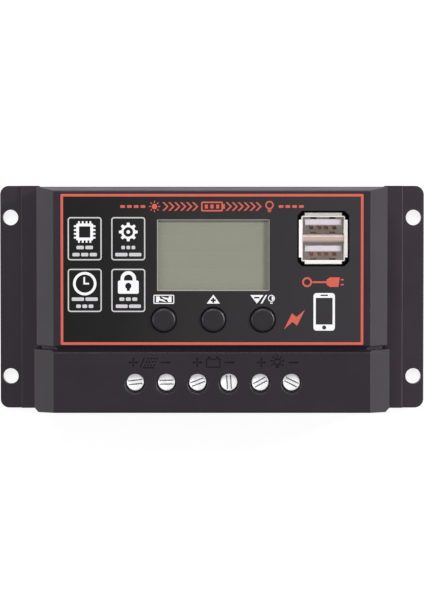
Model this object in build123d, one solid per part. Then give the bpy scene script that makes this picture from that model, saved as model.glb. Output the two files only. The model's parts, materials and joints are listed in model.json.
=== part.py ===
"""Panel-mount solar charge controller in a two-cover plastic case, lying on its back.

Frame: millimetres, origin at the middle of the back face, +X to the right of the face,
+Y from the wire side to the top edge, +Z from the back face out through the front face.
Each sub-part is written to parts/NODE.step.
"""
import math
import os

from build123d import *

os.makedirs("parts", exist_ok=True)

# ---- Case ---------------------------------------------------------------------------------
CASE_WIDTH = 133.5
CASE_LENGTH = 70.0
WALL = 2.0
FACE_Z = 34.0
SHOULDER_Z = 27.0
EAR_THICKNESS = 3.0
EAR_RADIUS = 2.8
EAR_EDGE_X = 60.1
PLATFORM_Z = 4.0
BACK_INSET = 0.5
MOUNT_SPACING_X = 127.0
MOUNT_SPACING_Y = 50.0
MOUNT_HOLE_RADIUS = 2.45
EDGE_FILLET = 0.45

MAIN_HALF_WIDTH = 53.6
TERMINAL_HALF_WIDTH = 54.3
FACE_HALF_WIDTH = 48.1
MAIN_TOP_Y = 34.5
MAIN_TOP_FACE_Y = 33.2
MAIN_BOTTOM_Y = -14.1
TERMINAL_TOP_Y = -15.2
TERMINAL_BOTTOM_Y = -34.5
TERMINAL_BOTTOM_FACE_Y = -34.25
TERMINAL_BEVEL = 0.7
TERMINAL_CORNER = 1.25
SPIGOT_END_Y = -17.0
SPIGOT_GAP = 0.15
SPIGOT_WALL = 1.2
RIM_HALF_WIDTH = 51.2
RIM_TOP_Y = 30.9
RIM_BOTTOM_Y = -31.8
RIM_WALL = 1.4
RIM_Z = 7.5

BOSS_X = 47.0
BOSS_Y = 27.2
BOSS_RADIUS = 3.3
BOSS_SPLIT_Z = 8.0
CASE_SCREW_RADIUS = 1.45
CASE_SCREW_HEAD_RADIUS = 2.8
CASE_SCREW_SEAT_Z = 2.6
CASE_SCREW_TIP_Z = 20.0

# ---- Face: label, display window, keys, charging socket -------------------------------------
CENTRE_X = 0.4
LABEL_WIDTH = 91.9
LABEL_HEIGHT = 45.9
LABEL_Y = 9.35
LABEL_THICKNESS = 0.3
LABEL_RECESS = 0.2
WINDOW_WIDTH = 34.1
WINDOW_HEIGHT = 21.7
WINDOW_Y = 13.7
LENS_WIDTH = 38.8
LENS_HEIGHT = 25.8
LENS_THICKNESS = 0.9
LENS_GAP = 0.1
KEY_PITCH = 15.0
KEY_Y = -5.9
KEY_RADIUS = 3.65
KEY_HOLE_RADIUS = 3.95
KEY_EDGE = 0.8
KEY_FLANGE_RADIUS = 4.6
KEY_FLANGE_Z = 30.9
KEY_FLANGE_TOP_Z = 31.8
KEY_TOP_Z = 35.0
SOCKET_X = 33.7
SOCKET_Y = 18.7
SOCKET_OPENING_X = 15.7
SOCKET_OPENING_Y = 16.8
SOCKET_OPENING_CORNER = 1.4

# ---- Circuit boards ---------------------------------------------------------------------------
BOARD_THICKNESS = 1.6
MAIN_BOARD_Z = 12.4
MAIN_BOARD_TOP = MAIN_BOARD_Z + BOARD_THICKNESS
DISPLAY_BOARD_Z = 24.8
DISPLAY_BOARD_TOP = DISPLAY_BOARD_Z + BOARD_THICKNESS
POST_X = 44.5
POST_YS = (12.0, -14.0)
SPACER_X = 22.5
SPACER_YS = (28.0, -9.0)
HEADER_X = -20.4
HEADER_Y = 10.0
HEADER_PINS = 8
HEADER_PITCH = 2.54

# ---- Terminals --------------------------------------------------------------------------------
POLE_PITCH = 9.5
POLE_NAMES = (
    "panel_plus", "panel_minus", "battery_plus", "battery_minus", "load_plus", "load_minus"
)
SLOT_ANGLES = (6.0, 1.0, 21.0, 93.0, 29.0, -26.0)
POLE_Y = -25.0
SCREW_HOLE_Y = POLE_Y - 0.35
SCREW_HOLE_RADIUS = 3.0
SCREW_HOLE_EASE = 0.35
SCREW_HEAD_RADIUS = 2.55
SCREW_HEAD_Z = 29.65
SCREW_HEAD_TOP = 31.85
SLOT_FLOOR_WIDTH = 0.8
SLOT_DEPTH = 0.45
SLOT_FLARE = 0.4
SCREW_RADIUS = 1.72
SCREW_TIP_Z = 22.9
CLAMP_HALF_X = 3.2
CLAMP_HALF_Y = 3.2
CLAMP_BOTTOM_Z = 15.1
CLAMP_TOP_Z = 24.7
CLAMP_MOUTH_HALF = 2.55
CLAMP_MOUTH_Z = (16.3, 23.1)
CONTACT_BAR_Z = (21.5, 22.7)
BLOCK_HALF_WIDTH = 28.9
BLOCK_Y = (-32.1, -17.6)
BLOCK_TOP_Z = 31.8
BLOCK_NOSE_Y = -33.3
BLOCK_NOSE_TOP = 23.2

# ---- Power parts --------------------------------------------------------------------------------
SINK_Z = (4.0, 7.0)
TRANSISTOR_XS = (-22.5, -7.5, 7.5, 22.5)
TRANSISTOR_Y = 2.0
TAB_HOLE_Y = TRANSISTOR_Y + 12.4
TAB_THICKNESS = 1.3
PAD_THICKNESS = 0.3


def block(x0, x1, y0, y1, z0, z1):
    """A box from its low corner to its high corner."""
    centre = Pos((x0 + x1) / 2, (y0 + y1) / 2, (z0 + z1) / 2)
    return centre * Box(x1 - x0, y1 - y0, z1 - z0)


def disc(x, y, z0, z1, radius):
    """A cylinder along Z from z0 to z1."""
    return Pos(x, y, (z0 + z1) / 2) * Cylinder(radius, z1 - z0)


def centred(x, y, width, height, z0, z1):
    """A box centred on (x, y)."""
    return block(x - width / 2, x + width / 2, y - height / 2, y + height / 2, z0, z1)


def plate(sketch, z0, z1):
    """A flat sketch in X and Y, made solid from z0 to z1."""
    return extrude(Pos(0, 0, z0) * sketch, z1 - z0)


def prism_along_y(points, y0, y1):
    """A polygon in X and Z, made solid from y0 to y1."""
    outline = Polyline(*[(x, y0, z) for x, z in points], close=True)
    return extrude(make_face(outline), y1 - y0, dir=(0, 1, 0))


def prism_along_x(points, x0, x1):
    """A polygon in Y and Z, made solid from x0 to x1."""
    outline = Polyline(*[(x0, y, z) for y, z in points], close=True)
    return extrude(make_face(outline), x1 - x0, dir=(1, 0, 0))


def fuse(solids):
    """One shape from several that touch or overlap."""
    first, *rest = solids
    return first.fuse(*rest) if rest else first


def save(name, *solids):
    """Writes one node as a compound of its separate solids."""
    pieces = [s for shape in solids for s in shape.solids()]
    shape = pieces[0] if len(pieces) == 1 else Compound(pieces)
    export_step(shape, f"parts/{name}.step")


def pole_xs():
    """The X place of each terminal pole, from left to right."""
    count = len(POLE_NAMES)
    return [CENTRE_X + POLE_PITCH * (i - (count - 1) / 2) for i in range(count)]


def key_xs():
    """The X place of each key, from left to right."""
    return [CENTRE_X + KEY_PITCH * i for i in (-1, 0, 1)]


def corners(x, ys):
    """The four places at plus and minus x and at each y."""
    return [(side * x, y) for side in (-1, 1) for y in ys]


BOSS_PLACES = corners(BOSS_X, (-BOSS_Y, BOSS_Y))
POST_PLACES = corners(POST_X, POST_YS)
SPACER_PLACES = [(CENTRE_X + x, y) for x, y in corners(SPACER_X, SPACER_YS)]


# ---- Case parts ---------------------------------------------------------------------------------
def case_section(half_width, inset=0.0, bottom=PLATFORM_Z):
    """The X and Z outline of a cover, moved inwards by inset, as points from left to right."""
    run = half_width - FACE_HALF_WIDTH
    rise = FACE_Z - SHOULDER_Z
    slope_length = math.hypot(run, rise)
    side = half_width - inset
    top = FACE_Z - inset
    shoulder = SHOULDER_Z - inset * (slope_length - rise) / run
    face = FACE_HALF_WIDTH - inset * (slope_length - run) / rise
    right = [(side, bottom), (side, shoulder), (face, top)]
    return [(-x, z) for x, z in right] + right[::-1]


def cover_outside(half_width, side_view, corner=0.0):
    """A cover's outer form: the case section trimmed to its side view, its low corners cut off."""
    section = case_section(half_width)
    form = prism_along_y(section, -CASE_LENGTH, CASE_LENGTH)
    form = form & prism_along_x(side_view, -CASE_WIDTH, CASE_WIDTH)
    if corner > 0:
        cut = Rectangle(corner * math.sqrt(2), corner * math.sqrt(2))
        for side in (-1, 1):
            place = Pos(side * half_width, side_view[0][0]) * Rot(0, 0, 45)
            form -= plate(place * cut, 0, FACE_Z + 1)
    return form.solids()[0]


def eased(form, low_end_y=None):
    """Rounds every edge of a cover above its rim, and not at the end that meets its neighbour."""
    chosen = [
        e
        for e in form.edges()
        if e.center().Z > PLATFORM_Z + 0.5
        and (low_end_y is None or abs(e.center().Y - low_end_y) > 0.01)
    ]
    return fillet(chosen, EDGE_FILLET)


def cover_bosses(ys, outside):
    """Screw bosses and their ribs, from above the base's bosses up to the inside of the face."""
    shapes = []
    for side in (-1, 1):
        for y in ys:
            shapes.append(disc(side * BOSS_X, y, BOSS_SPLIT_Z + 0.2, FACE_Z - 1, BOSS_RADIUS))
            reach = sorted((side * BOSS_X, side * (MAIN_HALF_WIDTH - 1)))
            shapes.append(block(*reach, y - 0.7, y + 0.7, BOSS_SPLIT_Z + 0.2, FACE_Z - 1))
    return [s & outside for s in shapes]


def boss_pilots(ys):
    """The pilot holes of a cover's bosses."""
    top = CASE_SCREW_TIP_Z + 2
    return [
        disc(side * BOSS_X, y, PLATFORM_Z, top, CASE_SCREW_RADIUS + 0.05)
        for side in (-1, 1)
        for y in ys
    ]


def socket_opening(z0, z1, grow=0.0):
    """The eight-sided opening round the charging socket."""
    sketch = Rectangle(SOCKET_OPENING_X + 2 * grow, SOCKET_OPENING_Y + 2 * grow)
    sketch = chamfer(sketch.vertices(), SOCKET_OPENING_CORNER)
    return plate(Pos(SOCKET_X, SOCKET_Y) * sketch, z0, z1)


def face_openings(z0, z1, window_width, window_height, key_radius):
    """The window, key and socket openings, as one list of cutters."""
    cuts = [centred(CENTRE_X, WINDOW_Y, window_width, window_height, z0, z1)]
    cuts += [disc(x, KEY_Y, z0, z1, key_radius) for x in key_xs()]
    cuts.append(socket_opening(z0, z1))
    return cuts


def main_cover():
    """The upper shell: face, sloped sides, top wall, two bosses and the spigot at its lower end."""
    side_view = [
        (MAIN_BOTTOM_Y, PLATFORM_Z),
        (MAIN_BOTTOM_Y, FACE_Z),
        (MAIN_TOP_FACE_Y, FACE_Z),
        (MAIN_TOP_Y, SHOULDER_Z),
        (MAIN_TOP_Y, PLATFORM_Z),
    ]
    outside = cover_outside(MAIN_HALF_WIDTH, side_view)
    collar_depth = 1.6
    cavity = prism_along_y(
        case_section(MAIN_HALF_WIDTH, WALL, 0), MAIN_BOTTOM_Y - 1, MAIN_TOP_FACE_Y - WALL
    )
    collar_section = case_section(MAIN_HALF_WIDTH, 1.0)
    spigot_section = case_section(TERMINAL_HALF_WIDTH, WALL + SPIGOT_GAP)
    spigot_inside = case_section(TERMINAL_HALF_WIDTH, WALL + SPIGOT_GAP + SPIGOT_WALL, 0)
    collar = prism_along_y(collar_section, MAIN_BOTTOM_Y, MAIN_BOTTOM_Y + collar_depth)
    spigot = prism_along_y(spigot_section, SPIGOT_END_Y, MAIN_BOTTOM_Y + collar_depth)
    ring = fuse([collar, spigot]) - prism_along_y(spigot_inside, SPIGOT_END_Y - 1, 0)
    ring -= block(-CASE_WIDTH, CASE_WIDTH, -CASE_LENGTH, 0, 0, RIM_Z + 0.3)
    shell = eased(outside) - cavity
    shell = fuse([shell, ring, *cover_bosses((BOSS_Y,), outside)])
    shell -= boss_pilots((BOSS_Y,))
    shell -= centred(0, LABEL_Y, LABEL_WIDTH + 0.2, LABEL_HEIGHT + 0.2, FACE_Z - LABEL_RECESS, FACE_Z + 1)
    lens_seat = (LENS_WIDTH + 2 * LENS_GAP, LENS_HEIGHT + 2 * LENS_GAP)
    shell -= face_openings(FACE_Z - 2 * WALL, FACE_Z + 1, *lens_seat, KEY_HOLE_RADIUS)
    return shell


def bar(x, y, width, height, angle=0.0):
    """A flat bar of a moulded mark, centred on (x, y)."""
    return Pos(x, y) * Rot(0, 0, angle) * Rectangle(width, height)


def moulded_marks():
    """The marks sunk in the terminal cover: polarity signs, panel, battery and lamp."""
    line = 0.5
    mark_y = -18.9
    mark_pitch = 9.7
    sign = 2.8
    shapes = []
    for i in range(len(POLE_NAMES)):
        x = CENTRE_X + mark_pitch * (i - (len(POLE_NAMES) - 1) / 2)
        shapes.append(bar(x, mark_y, sign, line))
        if i % 2 == 0:
            shapes.append(bar(x, mark_y, line, sign))
    panel_x, battery_x, lamp_x = (CENTRE_X + 2 * mark_pitch * i for i in (-1, 0, 1))
    lean = 22.0
    lean_per_y = math.tan(math.radians(lean))
    shapes.append(bar(panel_x - 2.1, mark_y, 0.3, 3.5, -lean))
    shapes.append(bar(panel_x - 0.3, mark_y - 1.6, 3.4, 0.4))
    for row in (-0.8, 0.2, 1.2):
        for column in (-0.9, 0.0, 0.9, 1.8):
            shapes.append(Pos(panel_x + column + row * lean_per_y, mark_y + row) * Circle(0.24))
    battery = Rectangle(4.4, 2.7) - Rectangle(3.7, 2.0)
    shapes.append(Pos(battery_x, mark_y - 0.2) * battery)
    for offset in (-1.2, 1.2):
        shapes.append(bar(battery_x + offset, mark_y + 1.45, 0.9, 0.7))
    glass_y = mark_y + 0.2
    shapes.append(Pos(lamp_x, glass_y) * (Circle(1.15) - Circle(0.75)))
    shapes.append(bar(lamp_x, mark_y - 1.35, 1.0, 0.6))
    rays = 7
    ray_reach = 1.8
    for k in range(rays):
        turn = -30.0 + 240.0 / (rays - 1) * k
        away = math.radians(turn)
        x = lamp_x + ray_reach * math.cos(away)
        shapes.append(bar(x, glass_y + ray_reach * math.sin(away), 0.7, 0.3, turn))
    return shapes


def terminal_cover():
    """The lower shell over the terminals, with screw holes, moulded marks and the wire window."""
    side_view = [
        (TERMINAL_BOTTOM_Y, PLATFORM_Z),
        (TERMINAL_BOTTOM_Y, SHOULDER_Z),
        (TERMINAL_BOTTOM_FACE_Y, FACE_Z),
        (TERMINAL_TOP_Y - TERMINAL_BEVEL, FACE_Z),
        (TERMINAL_TOP_Y, FACE_Z - TERMINAL_BEVEL),
        (TERMINAL_TOP_Y, PLATFORM_Z),
    ]
    outside = cover_outside(TERMINAL_HALF_WIDTH, side_view, TERMINAL_CORNER)
    cavity = prism_along_y(
        case_section(TERMINAL_HALF_WIDTH, WALL, 0), TERMINAL_BOTTOM_Y + WALL, 0
    )
    shell = eased(outside, TERMINAL_TOP_Y) - cavity
    shell = fuse([shell, *cover_bosses((-BOSS_Y,), outside)])
    shell -= boss_pilots((-BOSS_Y,))
    hole_z = (FACE_Z - 2 * WALL, FACE_Z + 1)
    shell -= [disc(x, SCREW_HOLE_Y, *hole_z, SCREW_HOLE_RADIUS) for x in pole_xs()]
    rims = [
        e
        for e in shell.edges().filter_by(GeomType.CIRCLE)
        if abs(e.radius - SCREW_HOLE_RADIUS) < 0.01 and abs(e.center().Z - FACE_Z) < 0.01
    ]
    shell = fillet(rims, SCREW_HOLE_EASE)
    window = BLOCK_HALF_WIDTH + 0.3
    window_y = TERMINAL_BOTTOM_Y + 2 * WALL
    window_z = (13.7, BLOCK_NOSE_TOP + 0.3)
    shell -= block(CENTRE_X - window, CENTRE_X + window, -CASE_LENGTH, window_y, *window_z)
    mark_depth = 0.6
    shell -= [plate(m, FACE_Z - mark_depth, FACE_Z + 1) for m in moulded_marks()]
    return shell


def rear_base():
    """The back plate with its ears, raised platform, locating rim, bosses, posts and vents."""
    ears = RectangleRounded(CASE_WIDTH, CASE_LENGTH, EAR_RADIUS)
    back_width = 2 * TERMINAL_HALF_WIDTH
    for side in (-1, 1):
        ears -= Pos(0, side * (CASE_LENGTH / 2)) * Rectangle(back_width, 2 * BACK_INSET)
    base = plate(ears, 0, EAR_THICKNESS)
    base = fillet(base.faces().sort_by(Axis.Z)[-1].outer_wire().edges(), 0.3)
    platform = Rectangle(2 * EAR_EDGE_X, CASE_LENGTH) & ears
    rim_centre_y = (RIM_TOP_Y + RIM_BOTTOM_Y) / 2
    rim_length = RIM_TOP_Y - RIM_BOTTOM_Y
    rim = Rectangle(2 * RIM_HALF_WIDTH, rim_length)
    inside = Rectangle(2 * (RIM_HALF_WIDTH - RIM_WALL), rim_length - 2 * RIM_WALL)
    step = plate(platform, EAR_THICKNESS - 1, PLATFORM_Z)
    long_edges = [e for e in step.edges().filter_by(Axis.Y) if e.center().Z > EAR_THICKNESS]
    step = fillet([e for e in long_edges if abs(e.center().X) > EAR_EDGE_X - 0.1], 0.4)
    base = fuse([base, step, plate(Pos(0, rim_centre_y) * rim, EAR_THICKNESS, RIM_Z)])
    base -= plate(Pos(0, rim_centre_y) * inside, EAR_THICKNESS, RIM_Z + 1)
    base = fuse([
        base,
        *[disc(x, y, EAR_THICKNESS - 1, BOSS_SPLIT_Z, BOSS_RADIUS) for x, y in BOSS_PLACES],
        *[disc(x, y, EAR_THICKNESS - 1, MAIN_BOARD_Z, 2.8) for x, y in POST_PLACES],
        *[block(x - 1, x + 1, -4, 22, EAR_THICKNESS - 1, SINK_Z[0]) for x in (-30, 30)],
    ])
    cuts = []
    for x, y in BOSS_PLACES:
        cuts.append(disc(x, y, -1, CASE_SCREW_SEAT_Z, CASE_SCREW_HEAD_RADIUS + 0.3))
        cuts.append(disc(x, y, 0, BOSS_SPLIT_Z + 1, CASE_SCREW_RADIUS + 0.15))
    cuts += [disc(x, y, 6, MAIN_BOARD_Z + 1, 1.45) for x, y in POST_PLACES]
    for x, y in corners(MOUNT_SPACING_X / 2, (-MOUNT_SPACING_Y / 2, MOUNT_SPACING_Y / 2)):
        cuts.append(disc(x, y, -1, EAR_THICKNESS + 2, MOUNT_HOLE_RADIUS))
    vent = SlotOverall(26, 2.2, rotation=90)
    for side in (-1, 1):
        for k in range(5):
            cuts.append(plate(Pos(side * (4.0 + 5.0 * k), 9) * vent, -1, PLATFORM_Z + 0.5))
    return base - cuts


def case_screws():
    """Four case screws, driven from the back, with cross recesses."""
    screws = []
    for x, y in BOSS_PLACES:
        head = disc(x, y, 0.7, CASE_SCREW_SEAT_Z, CASE_SCREW_HEAD_RADIUS)
        head = fillet(head.edges().sort_by(Axis.Z)[0], 0.5)
        screw = fuse([head, disc(x, y, CASE_SCREW_SEAT_Z, CASE_SCREW_TIP_Z, CASE_SCREW_RADIUS)])
        for turn in (45, 135):
            screw -= Pos(x, y, 1.2) * Rot(0, 0, turn) * Box(3.0, 0.6, 1.2)
        screws.append(screw)
    return screws


# ---- Face parts ---------------------------------------------------------------------------------
def face_label():
    """The printed label, open at the window, the keys and the socket."""
    z0 = FACE_Z - LABEL_RECESS
    sheet = centred(0, LABEL_Y, LABEL_WIDTH, LABEL_HEIGHT, z0, z0 + LABEL_THICKNESS)
    sheet = fillet(sheet.edges().filter_by(Axis.Z), 0.4)
    return sheet - face_openings(z0 - 1, z0 + 1, WINDOW_WIDTH, WINDOW_HEIGHT, KEY_HOLE_RADIUS + 0.1)


def window_lens():
    """The clear lens, set in the cover's opening and held by the back of the label."""
    top = FACE_Z - LABEL_RECESS
    lens = centred(CENTRE_X, WINDOW_Y, LENS_WIDTH, LENS_HEIGHT, top - LENS_THICKNESS, top)
    return chamfer(lens.faces().sort_by(Axis.Z)[-1].outer_wire().edges(), 0.15)


def key_cap(x):
    """One key: a round cap with a flange under the face."""
    cap = disc(x, KEY_Y, KEY_FLANGE_TOP_Z - 0.1, KEY_TOP_Z, KEY_RADIUS)
    cap = fillet(cap.edges().sort_by(Axis.Z)[-1], KEY_EDGE)
    return cap + disc(x, KEY_Y, KEY_FLANGE_Z, KEY_FLANGE_TOP_Z, KEY_FLANGE_RADIUS)


def switch_body(x):
    """One key switch's body on the display board, with the bore for its plunger."""
    body = centred(x, KEY_Y, 6.0, 6.0, DISPLAY_BOARD_TOP, DISPLAY_BOARD_TOP + 3.2)
    body = chamfer(body.edges().filter_by(Axis.Z), 0.6)
    cap = centred(x, KEY_Y, 5.2, 5.2, DISPLAY_BOARD_TOP + 3.0, DISPLAY_BOARD_TOP + 3.5)
    return body + cap - disc(x, KEY_Y, DISPLAY_BOARD_TOP + 1.0, DISPLAY_BOARD_TOP + 4, 1.85)


def switch_plunger(x):
    """The switch's plunger, which the key pushes."""
    return disc(x, KEY_Y, DISPLAY_BOARD_TOP + 1.6, KEY_FLANGE_Z, 1.7)


# ---- Display ------------------------------------------------------------------------------------
LCD_WIDTH = 38.0
LCD_REAR_HEIGHT = 29.0
LCD_FRONT_HEIGHT = 25.0
BACKLIGHT_THICKNESS = 4.1
GLASS_THICKNESS = 1.1
LCD_PINS = 12


def display_glass():
    """The display cell's two glass plates, the rear one wider for the pins."""
    z0 = DISPLAY_BOARD_TOP + BACKLIGHT_THICKNESS
    rear = centred(CENTRE_X, WINDOW_Y, LCD_WIDTH, LCD_REAR_HEIGHT, z0, z0 + GLASS_THICKNESS)
    z1 = z0 + GLASS_THICKNESS
    front = centred(CENTRE_X, WINDOW_Y, LCD_WIDTH, LCD_FRONT_HEIGHT, z1, z1 + GLASS_THICKNESS)
    return [rear, front]


def display_polariser():
    """The polariser film on the front glass, seen through the window."""
    z0 = DISPLAY_BOARD_TOP + BACKLIGHT_THICKNESS + 2 * GLASS_THICKNESS
    return centred(CENTRE_X, WINDOW_Y, LCD_WIDTH - 1.5, LCD_FRONT_HEIGHT - 1, z0, z0 + 0.2)


def display_backlight():
    """The light guide under the glass, with its lamp ledge on the right."""
    z0 = DISPLAY_BOARD_TOP
    guide = centred(CENTRE_X, WINDOW_Y, LCD_WIDTH, LCD_REAR_HEIGHT - 1, z0, z0 + BACKLIGHT_THICKNESS)
    return guide - block(CENTRE_X + LCD_WIDTH / 2 - 1.5, CENTRE_X + LCD_WIDTH, 10, 17, z0, z0 + 1.5)


def display_pins():
    """The clip pins along the top edge of the rear glass, down through the display board."""
    y0 = WINDOW_Y + LCD_REAR_HEIGHT / 2
    top = DISPLAY_BOARD_TOP + BACKLIGHT_THICKNESS + GLASS_THICKNESS
    return [
        centred(CENTRE_X + HEADER_PITCH * (k - (LCD_PINS - 1) / 2), y0 + 0.15, 0.5, 0.3, 23.6, top)
        for k in range(LCD_PINS)
    ]


# ---- Boards -------------------------------------------------------------------------------------
def header_places():
    """Where the header pins between the two boards stand."""
    middle = (HEADER_PINS - 1) / 2
    return [(HEADER_X, HEADER_Y + HEADER_PITCH * (k - middle)) for k in range(HEADER_PINS)]


def display_board():
    """The upper board, with holes for its screws, the display pins and the header."""
    sketch = Pos(CENTRE_X, 9.6) * RectangleRounded(50, 42, 1.0)
    board = plate(sketch, DISPLAY_BOARD_Z, DISPLAY_BOARD_TOP)
    cuts = [disc(x, y, DISPLAY_BOARD_Z - 1, DISPLAY_BOARD_TOP + 1, 1.35) for x, y in SPACER_PLACES]
    y0 = WINDOW_Y + LCD_REAR_HEIGHT / 2
    for k in range(LCD_PINS):
        x = CENTRE_X + HEADER_PITCH * (k - (LCD_PINS - 1) / 2)
        cuts.append(disc(x, y0 + 0.15, DISPLAY_BOARD_Z - 1, DISPLAY_BOARD_TOP + 1, 0.4))
    for x, y in header_places():
        cuts.append(disc(x, y, DISPLAY_BOARD_Z - 1, DISPLAY_BOARD_TOP + 1, 0.5))
    return board - cuts


def main_board():
    """The lower board, notched round the case bosses, with holes for all that passes through."""
    board = block(-48.6, 48.6, -29.9, 28.9, MAIN_BOARD_Z, MAIN_BOARD_TOP)
    z0, z1 = MAIN_BOARD_Z - 1, MAIN_BOARD_TOP + 1
    notch_x, notch_y = 43.0, 23.2
    cuts = []
    for side in (-1, 1):
        x0, x1 = sorted((side * notch_x, side * CASE_WIDTH))
        cuts.append(block(x0, x1, notch_y, CASE_LENGTH, z0, z1))
        cuts.append(block(x0, x1, -CASE_LENGTH, -notch_y, z0, z1))
    cuts += [disc(x, y, z0, z1, 1.6) for x, y in POST_PLACES]
    cuts += [disc(x, y, z0, z1, 1.35) for x, y in SPACER_PLACES]
    cuts += [disc(x, y, z0, z1, 0.5) for x, y in header_places()]
    cuts += [disc(x, y, z0, z1, 0.65) for x, y in transistor_lead_places()]
    cuts += [centred(x, y, 1.4, 1.2, z0, z1) for x, y in contact_tail_places()]
    cuts += [disc(x, y, z0, z1, 0.55) for x, y in socket_tail_places()]
    return board - cuts


def pan_screw(x, y, seat_z, head_radius, head_height, shank_radius, tip_z):
    """A pan-head screw seated at seat_z, its head above and its tip at tip_z, cross-recessed."""
    head = disc(x, y, seat_z, seat_z + head_height, head_radius)
    head = fillet(head.edges().sort_by(Axis.Z)[-1], head_height * 0.35)
    screw = fuse([head, disc(x, y, tip_z, seat_z, shank_radius)])
    for turn in (0, 90):
        recess = Box(head_radius * 1.1, head_radius * 0.22, head_height)
        screw -= Pos(x, y, seat_z + head_height) * Rot(0, 0, turn) * recess
    return screw


def board_spacer(x, y):
    """A round spacer between the boards, with a stud through the main board."""
    body = disc(x, y, MAIN_BOARD_TOP, DISPLAY_BOARD_Z, 2.4)
    stud = disc(x, y, MAIN_BOARD_Z - 0.4, MAIN_BOARD_TOP, 1.25)
    return fuse([body, stud]) - disc(x, y, 16, DISPLAY_BOARD_Z + 1, 1.15)


def header():
    """The plastic strip of the header and its pins."""
    middle = len(header_places()) * HEADER_PITCH / 2
    pins = [centred(x, y, 0.64, 0.64, 12.0, 27.4) for x, y in header_places()]
    strip = block(
        HEADER_X - 1.25, HEADER_X + 1.25, HEADER_Y - middle, HEADER_Y + middle, MAIN_BOARD_TOP, 22.5
    )
    strip = chamfer(strip.edges().filter_by(Axis.Z), 0.3)
    return strip - pins, pins


# ---- Charging socket ----------------------------------------------------------------------------
SHELL_X = 13.2
SHELL_Y = 13.8
SHEET = 0.35
PORT_WIDTH = SHELL_X - 2 * SHEET
PORT_HEIGHT = 5.12
PORT_OFFSET = SHELL_Y / 2 - SHEET - PORT_HEIGHT / 2
SHELL_MOUTH_Z = 33.0
LIP_TOP_Z = 33.9
LIP_FLARE_X = 0.85
LIP_FLARE_Y = 0.9
TONGUE_WIDTH = 11.1
TONGUE_THICKNESS = 1.84
TONGUE_TIP_Z = 32.3
PORT_FLOOR_Z = 24.1
CONTACT_XS = (-3.5, -1.0, 1.0, 3.5)
CONTACT_WIDTH = 1.15
CONTACT_THICKNESS = 0.26
CONTACT_BULGE = 0.95
BRIDGE_EASE = 1.0
SPRING_WINDOW_X = 2.9
SPRING_WINDOW_WIDTH = 1.8
SPRING_WINDOW_Z = (27.5, 31.0)


def socket_tail_places():
    """Where the socket's contact tails pass through the main board."""
    return [
        (SOCKET_X + x, SOCKET_Y + side * PORT_OFFSET - 0.15) for side in (-1, 1) for x in CONTACT_XS
    ]


def socket_shell():
    """The folded sheet shell of the two stacked ports, with flared lips and spring windows."""
    c = Pos(SOCKET_X, SOCKET_Y)
    shell = c * centred(0, 0, SHELL_X, SHELL_Y, MAIN_BOARD_TOP, SHELL_MOUTH_Z)
    shell = fillet(shell.edges().filter_by(Axis.Z), 0.5)
    for side in (-1, 1):
        shell -= c * centred(
            0, side * PORT_OFFSET, PORT_WIDTH, PORT_HEIGHT, MAIN_BOARD_TOP - 1, SHELL_MOUTH_Z + 1
        )
    gap = SHELL_Y - 2 * SHEET - 2 * PORT_HEIGHT - 2 * SHEET
    shell -= c * centred(0, 0, PORT_WIDTH, gap, MAIN_BOARD_TOP - 1, SHELL_MOUTH_Z - 1.0)
    bridge_edges = [
        e
        for e in shell.edges().filter_by(Axis.X)
        if abs(e.center().Z - SHELL_MOUTH_Z) < 0.01 and abs(e.center().Y - SOCKET_Y) < PORT_OFFSET
    ]
    shell = fillet(bridge_edges, BRIDGE_EASE)
    for x in (-SPRING_WINDOW_X, SPRING_WINDOW_X):
        shell -= c * centred(x, 0, SPRING_WINDOW_WIDTH, SHELL_Y + 2, *SPRING_WINDOW_Z)
    lip_x = SHELL_X / 2
    lip_y = SHELL_Y / 2
    lips = []
    for side in (-1, 1):
        along_x = [
            (side * (lip_y - SHEET), SHELL_MOUTH_Z - 0.2),
            (side * lip_y, SHELL_MOUTH_Z - 0.2),
            (side * (lip_y + LIP_FLARE_Y), LIP_TOP_Z - 0.3),
            (side * (lip_y + LIP_FLARE_Y - 0.15), LIP_TOP_Z),
        ]
        lips.append(prism_along_x(along_x, -lip_x + 1.0, lip_x - 1.0))
        along_y = [
            (side * (lip_x - SHEET), SHELL_MOUTH_Z - 0.2),
            (side * lip_x, SHELL_MOUTH_Z - 0.2),
            (side * (lip_x + LIP_FLARE_X), LIP_TOP_Z - 0.3),
            (side * (lip_x + LIP_FLARE_X - 0.15), LIP_TOP_Z),
        ]
        lips.append(prism_along_y(along_y, -lip_y + 1.2, lip_y - 1.2))
    return fuse([shell, *[c * lip for lip in lips]])


def socket_contacts():
    """The eight spring contacts, each on the underside of a tongue, with tails to the board."""
    strips = []
    half = CONTACT_THICKNESS / 2
    bulge = [(0.0, 15.0), (0.0, 28.8), (CONTACT_BULGE, 31.0), (0.0, TONGUE_TIP_Z - 0.3)]
    for x, y in socket_tail_places():
        outline = [(y - out - half, z) for out, z in bulge]
        outline += [(y - out + half, z) for out, z in bulge[::-1]]
        spring = prism_along_x(outline, x - CONTACT_WIDTH / 2, x + CONTACT_WIDTH / 2)
        tail = centred(x, y, 0.6, CONTACT_THICKNESS, 11.9, 15.0)
        strips.append(fuse([spring, tail]))
    return strips


def socket_tongues(contacts):
    """The moulded insulator of each port: a base that fills it and the tongue that stands up."""
    tongues = []
    for side in (-1, 1):
        y = SOCKET_Y + side * PORT_OFFSET
        base = centred(
            SOCKET_X, y, PORT_WIDTH - 0.1, PORT_HEIGHT - 0.1, MAIN_BOARD_TOP, PORT_FLOOR_Z
        )
        tongue_y = y + TONGUE_THICKNESS / 2
        tongue_z = (PORT_FLOOR_Z - 1, TONGUE_TIP_Z)
        tongue = centred(SOCKET_X, tongue_y, TONGUE_WIDTH, TONGUE_THICKNESS, *tongue_z)
        tongue = chamfer(tongue.faces().sort_by(Axis.Z)[-1].edges(), 0.25)
        tongues.append(fuse([base, tongue]) - contacts)
    return tongues


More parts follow.
